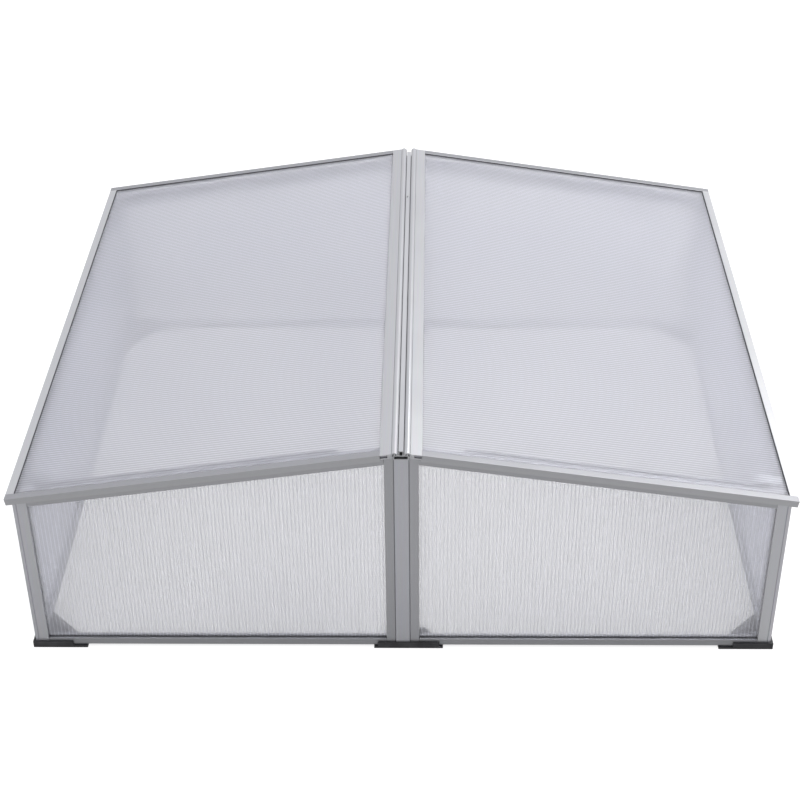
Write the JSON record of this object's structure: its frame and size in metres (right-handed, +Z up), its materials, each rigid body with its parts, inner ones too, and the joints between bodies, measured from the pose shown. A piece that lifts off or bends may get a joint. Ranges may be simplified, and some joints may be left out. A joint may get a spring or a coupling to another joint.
{
  "type": "cold frame",
  "caption": "Low bottomless aluminium cold frame glazed with twin-wall sheet, gabled, with lids that hinge up from a central ridge beam on folding stays.",
  "frame": {"origin": "on the ground, at the middle of the frame", "axes": "+Z up, X across the two lids, Y along the ridge with the front at -Y"},
  "size_m": [1.2, 1.022, 0.403],
  "materials": {
    "aluminium": "satin anodised",
    "lid_aluminium": "satin anodised",
    "glazing": "translucent twin-wall",
    "black_plastic": "moulded",
    "steel": "zinc plated"
  },
  "bodies": {
    "base": {"ridge_beam": "aluminium", "front_centre_post": "aluminium", "back_centre_post": "aluminium", "front_centre_foot": "black_plastic", "back_centre_foot": "black_plastic", "left_side_sill": "aluminium", "right_side_sill": "aluminium", "left_side_top_rail": "aluminium", "right_side_top_rail": "aluminium", "left_side_sheet": "glazing", "right_side_sheet": "glazing", "front_left_foot": "black_plastic", "front_right_foot": "black_plastic", "back_left_foot": "black_plastic", "back_right_foot": "black_plastic", "front_left_post": "aluminium", "front_right_post": "aluminium", "back_left_post": "aluminium", "back_right_post": "aluminium", "front_left_sill": "aluminium", "front_right_sill": "aluminium", "back_left_sill": "aluminium", "back_right_sill": "aluminium", "front_left_gable_rail": "aluminium", "front_right_gable_rail": "aluminium", "back_left_gable_rail": "aluminium", "back_right_gable_rail": "aluminium", "front_left_gable_sheet": "glazing", "front_right_gable_sheet": "glazing", "back_left_gable_sheet": "glazing", "back_right_gable_sheet": "glazing", "left_stay_peg": "steel", "right_stay_peg": "steel"},
    "left_lid": {"left_lid_hinge_rail": "lid_aluminium", "left_lid_eave_rail": "lid_aluminium", "left_lid_front_rail": "lid_aluminium", "left_lid_back_rail": "lid_aluminium", "left_lid_sheet": "glazing", "left_lid_front_cleat": "steel", "left_lid_back_cleat": "steel", "left_stay_bracket": "steel", "left_stay_pin": "steel"},
    "right_lid": {"right_lid_hinge_rail": "lid_aluminium", "right_lid_eave_rail": "lid_aluminium", "right_lid_front_rail": "lid_aluminium", "right_lid_back_rail": "lid_aluminium", "right_lid_sheet": "glazing", "right_lid_front_cleat": "steel", "right_lid_back_cleat": "steel", "right_stay_bracket": "steel", "right_stay_pin": "steel"},
    "left_stay_arm": {"left_stay": "lid_aluminium"},
    "right_stay_arm": {"right_stay": "lid_aluminium"}
  },
  "joints": [
    {"name": "left_lid_hinge", "type": "hinge", "parent": "base", "child": "left_lid", "pos_m": [-0.0098, 0, 0.3977], "axis": [0, 1, 0], "range_deg": [0, 50]},
    {"name": "right_lid_hinge", "type": "hinge", "parent": "base", "child": "right_lid", "pos_m": [0.0098, 0, 0.3977], "axis": [0, -1, 0], "range_deg": [0, 50]},
    {"name": "left_stay_pivot", "type": "hinge", "parent": "left_lid", "child": "left_stay_arm", "pos_m": [-0.55394, -0.4673, 0.30334], "axis": [0, 1, 0], "range_deg": [0, 24.78]},
    {"name": "right_stay_pivot", "type": "hinge", "parent": "right_lid", "child": "right_stay_arm", "pos_m": [0.55394, -0.4673, 0.30334], "axis": [0, -1, 0], "range_deg": [0, 24.78]}
  ],
  "couplings": [
    {"joint": "left_stay_pivot", "follows": "left_lid_hinge", "ratio": 0.4955},
    {"joint": "right_stay_pivot", "follows": "right_lid_hinge", "ratio": 0.4955}
  ]
}
